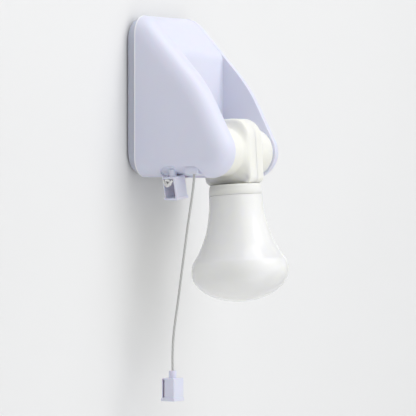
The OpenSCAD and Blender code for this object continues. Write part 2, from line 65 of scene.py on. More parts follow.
class Look:
    """A Principled material built from nodes, on the piece's own coordinates in metres."""

    def __init__(self, name, **sockets):
        self.material = bpy.data.materials.new(name)
        self.material.use_nodes = True
        self.tree = self.material.node_tree
        self.shader = self.tree.nodes["Principled BSDF"]
        for key, value in sockets.items():
            self.shader.inputs[key.replace("_", " ")].default_value = value
        self.place = self.tree.nodes.new("ShaderNodeTexCoord").outputs["Object"]

    def node(self, kind, **values):
        made = self.tree.nodes.new(kind)
        for key, value in values.items():
            if hasattr(made, key):
                setattr(made, key, value)
            else:
                made.inputs[key.replace("_", " ")].default_value = value
        return made

    def link(self, a, b):
        self.tree.links.new(a, b)

    def noise(self, scale, detail=2.0, stretch=(1, 1, 1)):
        move = self.node("ShaderNodeMapping")
        move.inputs["Scale"].default_value = stretch
        self.link(self.place, move.inputs["Vector"])
        made = self.node("ShaderNodeTexNoise", Scale=scale, Detail=detail)
        self.link(move.outputs["Vector"], made.inputs["Vector"])
        return made.outputs["Fac"]

    def ramp(self, fac, stops):
        made = self.node("ShaderNodeValToRGB")
        while len(made.color_ramp.elements) < len(stops):
            made.color_ramp.elements.new(0.5)
        for element, (at, colour) in zip(made.color_ramp.elements, stops):
            element.position = at
            element.color = (*colour, 1)
        self.link(fac, made.inputs["Fac"])
        return made.outputs["Color"]

    def span(self, fac, low, high):
        made = self.node("ShaderNodeMapRange")
        made.inputs["To Min"].default_value = low
        made.inputs["To Max"].default_value = high
        self.link(fac, made.inputs["Value"])
        return made.outputs["Result"]

    def bump(self, height, strength, distance):
        made = self.node("ShaderNodeBump", Strength=strength, Distance=distance)
        self.link(height, made.inputs["Height"])
        self.link(made.outputs["Normal"], self.shader.inputs["Normal"])

    def colour(self, output):
        self.link(output, self.shader.inputs["Base Color"])

    def rough(self, output):
        self.link(output, self.shader.inputs["Roughness"])


def shade(colour, k):
    return tuple(min(1.0, c * k) for c in colour)


def moulded(name, colour, rough, vary=0.02, grain=900, bump=0.06, **sockets):
    """Moulded plastic: faint flow marks in the colour, uneven gloss and a fine orange peel."""
    look = Look(name, **sockets)
    flow = look.noise(26, 3, (1, 1, 0.35))
    look.colour(look.ramp(flow, [(0.3, shade(colour, 1 - vary)), (0.7, shade(colour, 1 + vary))]))
    fine = look.noise(grain, 2)
    look.rough(look.span(look.noise(140, 4), rough - 0.05, rough + 0.06))
    look.bump(fine, bump, 0.00006)
    return look.material


def painted_rim_highlight(material, from_wall, width, gain):
    """Painted highlight: the base colour of the thin edge near the wall is mixed towards white, standing in
    for the light on that edge.
    """
    tree = material.node_tree
    shader = tree.nodes["Principled BSDF"]
    flow = shader.inputs["Base Color"].links[0].from_socket
    place = tree.nodes.new("ShaderNodeTexCoord")
    split = tree.nodes.new("ShaderNodeSeparateXYZ")
    tree.links.new(place.outputs["Object"], split.inputs["Vector"])
    # Painted highlight mask: rises from nothing to gain towards the back edge by the wall.
    near = tree.nodes.new("ShaderNodeMapRange")
    near.inputs["From Min"].default_value = -from_wall - width
    near.inputs["From Max"].default_value = -from_wall - width * 0.6
    near.inputs["To Max"].default_value = gain
    tree.links.new(split.outputs["Y"], near.inputs["Value"])
    mix = tree.nodes.new("ShaderNodeMix")
    mix.data_type = "RGBA"
    mix.inputs["B"].default_value = (1, 1, 1, 1)
    tree.links.new(near.outputs["Result"], mix.inputs["Factor"])
    tree.links.new(flow, mix.inputs["A"])
    tree.links.new(mix.outputs["Result"], shader.inputs["Base Color"])
    return material


def metal(name, colour, rough, stretch):
    """Drawn or turned metal with fine lines along it."""
    look = Look(name, Metallic=1.0)
    lines = look.noise(900, 3, stretch)
    look.colour(look.ramp(lines, [(0.3, shade(colour, 0.82)), (0.7, colour)]))
    look.rough(look.span(lines, rough, rough + 0.15))
    look.bump(lines, 0.15, 0.00005)
    return look.material


TWISTS = 46.0
STRANDS = 3.0


def cord_look(name, colour, use_uv):
    """Twisted cord: strands that run round it at a slant, or plain fibres where it has no UV map."""
    look = Look(name, Specular_IOR_Level=0.3, Sheen_Weight=0.15, Sheen_Roughness=0.5)
    if use_uv:
        uv = look.node("ShaderNodeTexCoord").outputs["UV"]
        split = look.node("ShaderNodeSeparateXYZ")
        look.link(uv, split.inputs["Vector"])
        along = look.node("ShaderNodeMath", operation="MULTIPLY")
        along.inputs[1].default_value = TWISTS
        look.link(split.outputs["X"], along.inputs[0])
        around = look.node("ShaderNodeMath", operation="MULTIPLY")
        around.inputs[1].default_value = STRANDS
        look.link(split.outputs["Y"], around.inputs[0])
        both = look.node("ShaderNodeMath", operation="ADD")
        look.link(along.outputs[0], both.inputs[0])
        look.link(around.outputs[0], both.inputs[1])
        wave = look.node("ShaderNodeMath", operation="PINGPONG")
        wave.inputs[1].default_value = 0.5
        look.link(both.outputs[0], wave.inputs[0])
        height = look.span(wave.outputs[0], 0.0, 2.0)
    else:
        height = look.noise(900, 2, (1, 1, 2.5))
    look.colour(look.ramp(height, [(0.1, shade(colour, 0.86)), (0.6, colour)]))
    look.rough(look.span(look.noise(1500, 2), 0.6, 0.8))
    look.bump(height, 0.5, 0.00015)
    return look.material


def foam(name, colour):
    look = Look(name, Specular_IOR_Level=0.2)
    cells = look.node("ShaderNodeTexVoronoi", Scale=1600.0)
    look.link(look.place, cells.inputs["Vector"])
    look.colour(look.ramp(cells.outputs["Distance"], [(0.1, shade(colour, 0.86)), (0.6, colour)]))
    look.rough(look.span(look.noise(300), 0.75, 0.95))
    look.bump(cells.outputs["Distance"], 0.4, 0.0001)
    return look.material


def milky(name, colour, rough, scatter, vary=0.015, coat=0.1, coat_rough=0.25):
    """Milk-white translucent plastic, thicker and thinner in the moulding."""
    look = Look(name, Subsurface_Weight=1.0, Subsurface_Scale=scatter,
                Coat_Weight=coat, Coat_Roughness=coat_rough)
    look.shader.inputs["Subsurface Radius"].default_value = (1.0, 1.0, 0.85)
    flow = look.noise(38, 3, (1, 1, 0.5))
    look.colour(look.ramp(flow, [(0.3, shade(colour, 1 - vary)), (0.7, shade(colour, 1 + vary))]))
    look.rough(look.span(look.noise(90, 4), rough - 0.05, rough + 0.07))
    look.bump(look.noise(420, 2), 0.05, 0.0001)
    return look.material


CELL_LOW, CELL_TOP = -0.0125, 0.0328
ZINC = (0.62, 0.63, 0.65)


def cell_jacket(name):
    """Printed sleeve of a cell: a plain band at each end of a darker body, with a metal rim."""
    look = Look(name, Coat_Weight=0.3, Coat_Roughness=0.2)
    split = look.node("ShaderNodeSeparateXYZ")
    look.link(look.place, split.inputs["Vector"])
    height = look.node("ShaderNodeMapRange")
    height.inputs["From Min"].default_value = CELL_LOW
    height.inputs["From Max"].default_value = CELL_TOP
    look.link(split.outputs["Z"], height.inputs["Value"])
    bands = look.ramp(height.outputs["Result"], [
        (0.0, ZINC), (0.035, ZINC), (0.045, (0.10, 0.27, 0.20)), (0.66, (0.12, 0.30, 0.22)),
        (0.68, (0.80, 0.72, 0.40)), (0.955, (0.78, 0.70, 0.38)), (0.965, ZINC)])
    look.colour(bands)
    look.rough(look.span(look.noise(260), 0.28, 0.42))
    look.bump(look.noise(700), 0.05, 0.00005)
    return look.material


def lavender(name):
    """The housing's plastic, which the knobs and cord bushes share."""
    return moulded(name, (0.722, 0.735, 0.862), 0.34, vary=0.012, bump=0.05,
                   Subsurface_Weight=0.15, Subsurface_Scale=0.002)


LOOKS = {
    "housing_plastic": lavender("housing_plastic"),
    # The shell's colour carries a painted highlight along its back edge near the wall.
    "housing_shell": painted_rim_highlight(lavender("housing_shell"), 0.0065, 0.0011, 0.6),
    "plate_plastic": moulded("plate_plastic", (0.58, 0.60, 0.70), 0.42, grain=1400, bump=0.12,
                             Subsurface_Weight=0.1, Subsurface_Scale=0.002),
    "tray_plastic": moulded("tray_plastic", (0.80, 0.81, 0.86), 0.5, grain=1200, bump=0.15),
    "ivory_plastic": milky("ivory_plastic", (0.865, 0.86, 0.80), 0.42, 0.0022),
    "globe_plastic": milky("globe_plastic", (0.975, 0.962, 0.865), 0.38, 0.0018, coat=0.8, coat_rough=0.07),
    "pad_foam": foam("pad_foam", (0.88, 0.88, 0.84)),
    "steel": metal("steel", ZINC, 0.28, (6, 1, 1)),
    "contact_brass": metal("contact_brass", (0.80, 0.62, 0.30), 0.25, (1, 1, 5)),
    "cell_jacket": cell_jacket("cell_jacket"),
    "cord_braid": cord_look("cord_braid", (0.55, 0.55, 0.54), True),
    "cord_loop_braid": cord_look("cord_loop_braid", (0.84, 0.84, 0.83), False),
    "wire_sleeve_red": moulded("wire_sleeve_red", (0.42, 0.03, 0.03), 0.38, vary=0.1),
    "wire_sleeve_black": moulded("wire_sleeve_black", (0.02, 0.02, 0.022), 0.38, vary=0.2),
    "board": moulded("board", (0.74, 0.78, 0.74), 0.35, vary=0.05, Coat_Weight=0.4),
    "led_lens": milky("led_lens", (0.85, 0.74, 0.30), 0.25, 0.001, vary=0.05),
}


# ---- mesh helpers: shapes are drawn in millimetres and scaled at the end ----

def smooth_by(mesh, angle):
    mesh.shade_smooth()
    mesh.set_sharp_from_angle(angle=math.radians(angle))


def new_object(name, verts, faces):
    mesh = bpy.data.meshes.new(name)
    mesh.from_pydata([tuple(v) for v in verts], [], faces)
    mesh.validate()
    obj = bpy.data.objects.new(name, mesh)
    scene.collection.objects.link(obj)
    edit(obj, lambda bm: bmesh.ops.recalc_face_normals(bm, faces=bm.faces))
    return obj


def edit(obj, change):
    bm = bmesh.new()
    bm.from_mesh(obj.data)
    change(bm)
    bm.to_mesh(obj.data)
    bm.free()
    obj.data.update()


def apply(obj, kind, **values):
    """Adds one modifier and keeps its result."""
    modifier = obj.modifiers.new("m", kind)
    for key, value in values.items():
        setattr(modifier, key, value)
    bpy.context.view_layer.update()
    graph = bpy.context.evaluated_depsgraph_get()
    old, made = obj.data, bpy.data.meshes.new_from_object(obj.evaluated_get(graph))
    obj.modifiers.clear()
    obj.data = made
    bpy.data.meshes.remove(old)


def combine(obj, other, operation):
    apply(obj, "BOOLEAN", object=other, operation=operation, solver="EXACT")
    bpy.data.objects.remove(other)


def cut(obj, *others):
    for other in others:
        combine(obj, other, "DIFFERENCE")


def add(obj, *others):
    for other in others:
        combine(obj, other, "UNION")


def clean(obj, distance=0.004):
    def change(bm):
        bmesh.ops.remove_doubles(bm, verts=bm.verts, dist=distance)
        bmesh.ops.dissolve_degenerate(bm, edges=bm.edges, dist=distance)
        bmesh.ops.recalc_face_normals(bm, faces=bm.faces)
    edit(obj, change)


def bevel(obj, width, segments=2, angle=38):
    apply(obj, "BEVEL", width=width, segments=segments, limit_method="ANGLE",
          angle_limit=math.radians(angle), use_clamp_overlap=True)


def loft(rings, name):
    """Closed rings of equal count joined into a skin, with a cap on each end."""
    count = len(rings[0])
    verts = [tuple(p) for ring in rings for p in ring]
    faces = []
    for low in range(0, (len(rings) - 1) * count, count):
        high = low + count
        for k in range(count):
            after = (k + 1) % count
            faces.append((low + k, low + after, high + after, high + k))
    faces.append(tuple(range(count)))
    faces.append(tuple(range((len(rings) - 1) * count, len(rings) * count)))
    return new_object(name, verts, faces)


ON_AXIS = 1e-6


def lathe(profile, name, steps=96):
    """A closed (radius, z) outline turned about Z. Points on the axis become one vertex."""
    verts, index = [], []
    for r, z in profile:
        if r < ON_AXIS:
            index.append([len(verts)] * steps)
            verts.append((0, 0, z))
        else:
            index.append(list(range(len(verts), len(verts) + steps)))
            verts += [(r * math.cos(2 * math.pi * k / steps), r * math.sin(2 * math.pi * k / steps), z)
                      for k in range(steps)]
    faces = []
    for i in range(len(profile)):
        a, b = index[i], index[(i + 1) % len(profile)]
        for k in range(steps):
            m = (k + 1) % steps
            face = list(dict.fromkeys([a[k], a[m], b[m], b[k]]))
            if len(face) > 2:
                faces.append(face)
    return new_object(name, verts, faces)


def rod(name, axis, at, start, end, radius, steps=48):
    """A cylinder along "x", "y" or "z"; at is its place on the other two axes."""
    ring = [(radius * math.cos(2 * math.pi * k / steps), radius * math.sin(2 * math.pi * k / steps))
            for k in range(steps)]
    place = {
        "x": lambda p, s: (s, at[0] + p[0], at[1] + p[1]),
        "y": lambda p, s: (at[0] + p[0], s, at[1] + p[1]),
        "z": lambda p, s: (at[0] + p[0], at[1] + p[1], s)}[axis]
    return loft([[place(p, s) for p in ring] for s in (start, end)], name)


def block(name, x0, x1, y0, y1, z0, z1):
    return loft([[(x, y0, z0), (x, y1, z0), (x, y1, z1), (x, y0, z1)] for x in (x0, x1)], name)


def prism(name, outline, x0, x1):
    """An outline drawn as (distance from the wall, z), extruded along X."""
    return loft([[(x, -d, z) for d, z in outline] for x in (x0, x1)], name)


def arc(centre, radius, a0, a1, count):
    """Points round an arc from angle a0 to a1 in degrees, both ends among them."""
    angles = [math.radians(a0 + (a1 - a0) * i / count) for i in range(count + 1)]
    return [(centre[0] + radius * math.cos(a), centre[1] + radius * math.sin(a)) for a in angles]


def bezier(a, b, c, e, count):
    points = []
    for i in range(count + 1):
        t = i / count
        u = 1 - t
        points.append(tuple(u ** 3 * a[k] + 3 * u * u * t * b[k] + 3 * u * t * t * c[k] + t ** 3 * e[k]
                            for k in (0, 1)))
    return points


def settle(obj, body, look, replaced, angle=35, turn=None):
    """Scales a piece from millimetres, shades it, gives it its finish and lets it ride."""
    if turn is not None:
        obj.data.transform(turn)
    obj.data.transform(Matrix.Scale(MM, 4))
    smooth_by(obj.data, angle)
    obj.data.materials.clear()
    obj.data.materials.append(LOOKS[look])
    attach(obj, body)
    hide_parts(*replaced)
    return obj


def poly_spline(curve, points):
    """Adds one straight-sided line of points to a curve."""
    made = curve.splines.new("POLY")
    made.points.add(len(points) - 1)
    for point, at in zip(made.points, points):
        point.co = (*at, 1)
    return made


# ---- the pull cord, from inside the housing to its knob ----

CORD_X = -33.0
CORD_R = 0.75
CORD_ROUTE = [
    (46.55, -33), (46.55, -41), (46.55, -48.5), (45.9, -56), (44.7, -64), (43.4, -72), (42, -80),
    (40.8, -88), (39.6, -96), (38.4, -104), (37.2, -112), (36, -120), (34.8, -128), (33.5, -136),
    (32.3, -144), (31.5, -152), (31.2, -160), (31.2, -168), (31.2, -176)]


def smooth_route(points, steps):
    """Catmull-Rom points along a route, its own points among them."""
    p = np.array(points, float)
    made = []
    for i in range(len(p) - 1):
        a, b, c, e = p[max(i - 1, 0)], p[i], p[i + 1], p[min(i + 2, len(p) - 1)]
        for k in range(steps):
            t = k / steps
            bend = (2 * a - 5 * b + 4 * c - e) + t * (3 * (b - c) + e - a)
            made.append(b + 0.5 * t * ((c - a) + t * bend))
    return np.array(made + [p[-1]])


route = np.array([(CORD_X, -d, z) for d, z in smooth_route(CORD_ROUTE, 5)]) * MM
cord_data = bpy.data.curves.new("pull_cord_line", "CURVE")
cord_data.dimensions = "3D"
poly_spline(cord_data, route)
cord_data.bevel_depth = CORD_R * MM
cord_data.bevel_resolution = 4
cord_data.use_fill_caps = True
cord_piece = bpy.data.objects.new("pull_cord_line", cord_data)
scene.collection.objects.link(cord_piece)
cord_data.materials.append(LOOKS["cord_braid"])
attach(cord_piece, "pull")
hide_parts("pull_cord")


# ---- knobs: small boxes with one open side, a boss on top and a lip below ----

KNOB_W, KNOB_D, KNOB_H, KNOB_WALL, BOSS_H, BOSS_R = 12.5, 9.5, 14.3, 1.2, 4.4, 2.4
LIP_H, LIP_OUT = 2.0, 0.3


def knob(name, lid):
    """One of the two cord knobs; a lid with a long slot may close its open side."""
    half_w, half_d = KNOB_W / 2, KNOB_D / 2
    top, low = -BOSS_H, -BOSS_H - KNOB_H
    wide, back = half_w - LIP_OUT, half_d - LIP_OUT
    piece = block(name, -wide, wide, -back, back, low + 0.5, top)
    bevel(piece, 0.7, 3)
    lip = block("lip", -half_w, half_w, -half_d, half_d, low, low + LIP_H)
    bevel(lip, 0.4, 3)
    boss = rod("boss", "z", (0, 0), top - 0.5, 0, BOSS_R, 40)
    bevel(boss, 0.4, 3)
    add(piece, lip, boss)
    inner = half_w - KNOB_WALL - LIP_OUT
    cut(piece,
        block("hollow", -inner, inner, KNOB_WALL - back, half_d + 3, low + KNOB_WALL, top - KNOB_WALL),
        rod("bore", "z", (0, 0), -12, 2, CORD_R + 0.15, 24))
    if lid:
        add(piece, block("lid", -inner - 0.5, inner + 0.5, back - 2.6, back - 0.1, low + 0.6, top - 0.6))
        slot_low = low + LIP_H + 0.3
        cut(piece, block("slot", -half_w - 1, inner - 1, back - 2.1, back - 0.7, slot_low, top - 0.9))
    clean(piece)
    bevel(piece, 0.14, 2, 50)
    return piece


KNOB_AT = Vector((CORD_X, -31.2, -169.2))
pull_knob = knob("pull_knob_box", True)
settle(pull_knob, "pull", "housing_plastic", ["pull_knob"],
       turn=Matrix.Translation(KNOB_AT))
STOP_AT = Vector((CORD_X, -31.05, -45.5))
stop_turn = (Matrix.Translation(STOP_AT) @ Matrix.Rotation(math.radians(-10), 4, "Y")
             @ Matrix.Rotation(math.radians(-3), 4, "X") @ Matrix.Rotation(math.radians(70), 4, "Z"))
stop_knob = knob("stop_knob_box", False)
settle(stop_knob, "housing", "housing_plastic", ["stop_knob"], turn=stop_turn)


def knot(name, centre, turn, ring_r, ring_tilt, ring_at, tail):
    """A pulled overhand knot: a lump of two crossed turns with a short tail."""
    data = bpy.data.curves.new(name, "CURVE")
    data.dimensions = "3D"
    for tilt, radius in ((ring_tilt, ring_r), (ring_tilt + 62, ring_r * 0.86)):
        lean = Matrix.Rotation(math.radians(tilt), 3, "X")
        points = [lean @ Vector((radius * math.cos(a), radius * math.sin(a), 0.0)) + Vector(ring_at)
                  for a in np.linspace(0, 2 * math.pi, 25)[:-1]]
        poly_spline(data, points).use_cyclic_u = True
    poly_spline(data, tail)
    data.bevel_depth = CORD_R
    data.bevel_resolution = 3
    data.use_fill_caps = True
    source = bpy.data.objects.new(name, data)
    scene.collection.objects.link(source)
    bpy.context.view_layer.update()
    mesh = bpy.data.meshes.new_from_object(source.evaluated_get(bpy.context.evaluated_depsgraph_get()))
    bpy.data.objects.remove(source)
    piece = bpy.data.objects.new(name, mesh)
    scene.collection.objects.link(piece)
    piece.data.transform(turn @ Matrix.Translation(centre))
    return piece


KNOT_DROP = 8.0
pull_knot = knot("pull_knot_loop", (0, 0, -KNOT_DROP), Matrix.Translation(KNOB_AT), 1.25, 24,
                 (0, 0, 0), [(0, 0.3, -0.6), (0.5, 0.8, -1.4), (1.2, 1.2, -2.0)])
settle(pull_knot, "pull", "cord_loop_braid", ["pull_knot"], angle=60)
stop_knot = knot("stop_knot_loop", (0, 0.4, -7.8), stop_turn, 1.9, 58, (0.6, 3.6, 0.2),
                 [(-4.2, 3.9, 1.4), (-3.4, 4.3, 0.8), (-2.0, 4.7, -0.6), (-0.6, 4.9, -1.7), (1.0, 4.9, -2.0),
                  (2.6, 4.7, -1.0), (3.7, 4.4, 0.4), (4.3, 4.0, 1.6)])
settle(stop_knot, "housing", "cord_loop_braid", ["stop_knot"], angle=60)


# ---- housing ----

HALF_W, HALF_H, RIM_D, WALL_T, CHEEK_W, EDGE_R = 38.0, 50.0, 6.5, 2.0, 13.4, 12.5
CENTRE_D, CENTRE_R, RIDGE_A, LOBE_A, RIDGE_OFF = 33.4, 7.0, 47.5, 62.5, 42.4
PIVOT_D, PIVOT_Z, LOBE_R, BEND_R, FAR, STEP = 55.0, -34.8, 16.2, 100.0, 20.0, 0.2
CHEEK_X = HALF_W - CHEEK_W
n1 = np.array([math.sin(math.radians(RIDGE_A)), math.cos(math.radians(RIDGE_A))])
n2 = np.array([math.sin(math.radians(LOBE_A)), math.cos(math.radians(LOBE_A))])
LOBE_OFF = n2 @ (PIVOT_D, PIVOT_Z) + LOBE_R
BEND_A = math.radians(90 - (RIDGE_A + LOBE_A) / 2)
ridge_corner = np.linalg.solve([n1, n2], [RIDGE_OFF, LOBE_OFF])
bend_c = ridge_corner - BEND_R / math.cos(math.radians((LOBE_A - RIDGE_A) / 2)) * np.array(
    [math.cos(BEND_A), math.sin(BEND_A)])
TOP_CORNER_R = 4.0
TOP_CORNER_A = 90 - RIDGE_A


def line(a, b, count):
    """Points from a towards b, b left out."""
    return [tuple(np.array(a) + (np.array(b) - np.array(a)) * i / count) for i in range(count)]


def cheek_ring(t):
    """Side outline of a cheek, t inside its skin, from behind the wall over the top to the bottom."""
    def top_corner(r):
        centre_z = HALF_H - r
        centre_d = (RIDGE_OFF - r - n1[1] * centre_z) / n1[0]
        return centre_d, centre_z
    r = TOP_CORNER_R + EDGE_R
    c = top_corner(r)
    over = arc(c, r - t, 90, TOP_CORNER_A, 12)
    bend = arc(bend_c, BEND_R - t, 90 - RIDGE_A, 90 - LOBE_A, 10)
    lobe = arc((PIVOT_D, PIVOT_Z), LOBE_R - t, 90 - LOBE_A, -90, 40)
    back = (-FAR, PIVOT_Z - LOBE_R + 1 + t)
    return np.array(line((-FAR, HALF_H - t), over[0], 6) + over + line(over[-1], bend[0], 14)[1:] + bend
                    + line(bend[-1], lobe[0], 6)[1:] + lobe + line(lobe[-1], back, 16)[1:] + [back])


def centre_ring(t):
    """Outline between the cheeks with as many points, each across from the cheek's own."""
    ring = cheek_ring(STEP + t)
    r = CENTRE_R - t
    corner_d = CENTRE_D - CENTRE_R
    corner_z = (RIDGE_OFF - STEP - CENTRE_R - n1[0] * corner_d) / n1[1]
    low = 1 - HALF_H + t
    down = np.array(arc((corner_d, corner_z), r, 90 - RIDGE_A, 0, 14)[:-1]
                    + line((CENTRE_D - t, corner_z), (CENTRE_D - t, low), 40) + [(CENTRE_D - t, low)])
    first = next(i for i, p in enumerate(ring) if p[1] < down[0][1] + 0.4 and p[0] > 20)
    last = max(i for i, p in enumerate(ring) if p[0] > CENTRE_D - t)
    part = ring[first:last + 1]
    walked = np.concatenate([[0], np.cumsum(np.linalg.norm(np.diff(part, axis=0), axis=1))])
    path = np.concatenate([[0], np.cumsum(np.linalg.norm(np.diff(down, axis=0), axis=1))])
    share = walked / walked[-1] * path[-1]
    ring[first:last + 1] = np.stack([np.interp(share, path, down[:, k]) for k in (0, 1)], axis=1)
    ring[last + 1:, 1] = low
    return ring


def shell_solid(name, t):
    """The housing's outside, t inside its skin, as one closed skin lofted across X."""
    cheek, centre = cheek_ring(t), centre_ring(t)
    up = cheek - centre
    height = np.linalg.norm(up, axis=1)
    up = up / height[:, None]
    soft = np.minimum(0.9, height * 0.45)          # hollow fillet at the foot of the cheek's inner wall
    crest = np.minimum(0.7, height * 0.45)         # rounding of the ridge
    x_in = CHEEK_X + t
    half = [(np.zeros(len(centre)), centre)]       # (x, points) from the middle outwards
    for a in np.radians([0, 30, 60, 90]):
        half.append((x_in - soft * (1 - np.sin(a)), centre + up * (soft * (1 - np.cos(a)))[:, None]))
    for a in np.radians([0, 30, 60, 90]):
        half.append((x_in + crest * (1 - np.cos(a)), cheek - up * (crest * (1 - np.sin(a)))[:, None]))
    r = EDGE_R - t
    for a in np.radians(np.linspace(4, 90, 16)):
        ring = cheek_ring(t + r * (1 - math.cos(a)))
        half.append((np.full(len(ring), HALF_W - t - r + r * math.sin(a)), ring))
    right = [[(x, -d, z) for x, (d, z) in zip(xs, ring)] for xs, ring in half]
    left = [[(-x, y, z) for x, y, z in ring] for ring in right[:0:-1]]
    return loft(left + right, name)


def recess_outline(grow):
    low, d0, d1, top, r = -HALF_H - FAR, 22.5 - grow, 52.5 + grow, -44 + grow, 5 + grow
    return ([(d1, low)] + arc((d1 - r, top - r), r, 0, 90, 10) + arc((d0 + r, top - r), r, 90, 180, 10)
            + [(d0, low)])


RECESS_X = CHEEK_X + WALL_T
RECESS_DEEP = 1.0
TRAY_BOSSES = ((-29, 40), (29, 40), (-31, -40), (31, -40))
TRAY_D = RIM_D + 2.2
PIVOT_BORE_R, BUSH_BORE_R = 5.05, 2.5
CORD_HOLES_D = (46.55, 31.05)
housing = shell_solid("housing_body", 0)
cut(housing, shell_solid("hollow", WALL_T))
recess_block = prism("recess_block", recess_outline(WALL_T), -HALF_W, -CHEEK_X - 0.5)
combine(recess_block, shell_solid("inside", 1.0), "INTERSECT")
add(housing, recess_block)
for side in (-1, 1):
    add(housing, rod("boss", "x", (-PIVOT_D, PIVOT_Z), side * (CHEEK_X + 0.5), side * (CHEEK_X + 2.9), 8))
for x, z in TRAY_BOSSES:
    add(housing, rod("boss", "y", (x, z), -TRAY_D, -15, 3, 32))
for side in (-1, 1):
    add(housing, block("rib", *sorted((side * 31, side * (HALF_W - 1))), -14.5, -TRAY_D, -40.8, -39.2))
cut(housing,
    block("behind", -HALF_W - 2, HALF_W + 2, -RIM_D, FAR + 5, -HALF_H - 10, HALF_H + 10),
    prism("recess", recess_outline(0), -HALF_W - 2, -RECESS_X))
recess_floor = prism("recess_floor", recess_outline(0.4), -HALF_W, 1 - RECESS_X)
combine(recess_floor, shell_solid("floor", RECESS_DEEP), "INTERSECT")
add(housing, recess_floor)
cut(housing, block("notch", -28.4, 1.4 - RECESS_X, -38, -24.5, -60, -48.3))
for side in (-1, 1):
    cut(housing, rod("bore", "x", (-PIVOT_D, PIVOT_Z), side * (CHEEK_X - 1.5), side * (CHEEK_X + 5),
                     PIVOT_BORE_R))
for d in CORD_HOLES_D:
    cut(housing, rod("bore", "z", (CORD_X, -d), -45, -40, BUSH_BORE_R, 32))
clean(housing)
settle(housing, "housing", "housing_shell", ["housing_shell"], angle=32)


# ---- bulb, drawn plumb about its pivot and then tilted ----

tilt = Matrix.Translation((0, -PIVOT_D, PIVOT_Z)) @ Matrix.Rotation(math.radians(-4), 4, "X")
KNUCKLE_D, KNUCKLE_W, KNUCKLE_H, HUB_R, STUB_R, STUB_END = 33.0, 21.0, 40.4, 15.0, 5.0, 29.5
HUB_X = CHEEK_X - 0.3
NECK_Z = -KNUCKLE_H / 2
POSTS = ((11, 13), (-11, -14))
TOP_R, LOW_R = 12.0, 4.0
SEAM_GAP, SEAM, FLOW, HUB_EDGE = 0.02, 0.06, 5.4, 0.7
POST_R, SCREW_BORE_R, SCREW_HEAD_R, WIRE_BORE_R, THROAT_R = 2.4, 1.1, 2.05, 3.2, 8


def knuckle_ring(t):
    """Side outline of the knuckle's block, t inside its skin, as (distance from the pivot, z)."""
    y, z = KNUCKLE_D / 2, KNUCKLE_H / 2
    return (arc((y - TOP_R, z - TOP_R), TOP_R - t, 0, 90, 16)
            + arc((TOP_R - y, z - TOP_R), TOP_R - t, 90, 180, 16)
            + arc((LOW_R - y, LOW_R - z), LOW_R - t, 180, 270, 8)
            + arc((y - LOW_R, LOW_R - z), LOW_R - t, 270, 360, 8))


def dense(ring, step=1.0):
    """The same outline with points about a millimetre apart."""
    ring = np.array(ring)
    points = []
    for a, b in zip(ring, np.roll(ring, -1, axis=0)):
        count = max(1, round(float(np.linalg.norm(b - a)) / step))
        points += [a + (b - a) * k / count for k in range(count)]
    return np.array(points)


def knuckle_skin(name, x1):
    """One half of the knuckle's outside: its block flows into the round hub."""
    block_ring = dense(knuckle_ring(0))
    hub_ring = block_ring * (HUB_R / np.linalg.norm(block_ring, axis=1))[:, None]
    steps = [(SEAM_GAP, block_ring * (1 - SEAM / 16)), (SEAM_GAP + SEAM, block_ring)]
    for k in np.linspace(0, 1, 17):
        share = k * k * (3 - 2 * k)
        steps.append((x1 - 3.4 + FLOW * k, block_ring * (1 - share) + hub_ring * share))
    for a in np.radians((0, 22, 45, 68, 90)):
        shrink = 1 - HUB_EDGE * (1 - math.cos(a)) / HUB_R
        steps.append((HUB_X - HUB_EDGE + HUB_EDGE * math.sin(a), hub_ring * shrink))
    return loft([[(x, -d, z) for d, z in ring] for x, ring in steps], name)


def knuckle_hollow(name, t, x0, x1, r):
    """The inside of the knuckle's block, t inside its skin, with its outer edge rounded."""
    rings = [[(x0, -d, z) for d, z in knuckle_ring(t)]]
    for a in np.radians(np.linspace(0, 90, 8)):
        inset = t + r * (1 - math.cos(a))
        rings.append([(x1 - r + r * math.sin(a), -d, z) for d, z in knuckle_ring(inset)])
    return loft(rings, name)


def flip_x(bm):
    bmesh.ops.scale(bm, vec=(-1, 1, 1), verts=bm.verts)
    bmesh.ops.reverse_faces(bm, faces=bm.faces)


def knuckle(name, side):
    """One half of the knuckle; side is 1 for the right half, which takes the screws' heads."""
    half = KNUCKLE_W / 2
    piece = knuckle_skin(name, half)
    stub = rod("stub", "x", (0, 0), HUB_X - 2, STUB_END, STUB_R - 0.03, 48)
    bevel(stub, 0.5, 2)
    add(piece, stub)
    cut(piece, knuckle_hollow("inner", WALL_T, -1, half - 2, 0.5),
        rod("inner", "x", (0, 0), 0, HUB_X - 2, HUB_R - 2.2, 64))
    for y, z in POSTS:
        add(piece, rod("post", "x", (y, z), SEAM_GAP, half - 1, POST_R, 32))
    cut(piece, rod("bore", "x", (0, 0), -1, STUB_END + 1, WIRE_BORE_R, 48),
        rod("throat", "z", (0, 0), NECK_Z - 1, NECK_Z + 4, THROAT_R, 64))
    for y, z in POSTS:
        cut(piece, rod("bore", "x", (y, z), -1, half - 1.6, SCREW_BORE_R, 24))
        if side > 0:
            cut(piece, rod("pocket", "x", (y, z), half - 2.2, half + 1, SCREW_HEAD_R, 32))
    groove = rod("groove", "x", (0, 0), STUB_END - 2, STUB_END - 1.2, STUB_R + 1, 48)
    cut(groove, rod("core", "x", (0, 0), STUB_END - 3, STUB_END, STUB_R - 0.6, 48))
    cut(piece, groove)
    clean(piece)
    if side < 0:
        edit(piece, flip_x)
    return piece


for side, label in ((1, "right"), (-1, "left")):
    settle(knuckle("knuckle_" + label + "_half", side), "bulb", "ivory_plastic",
           ["knuckle_" + label], turn=tilt)

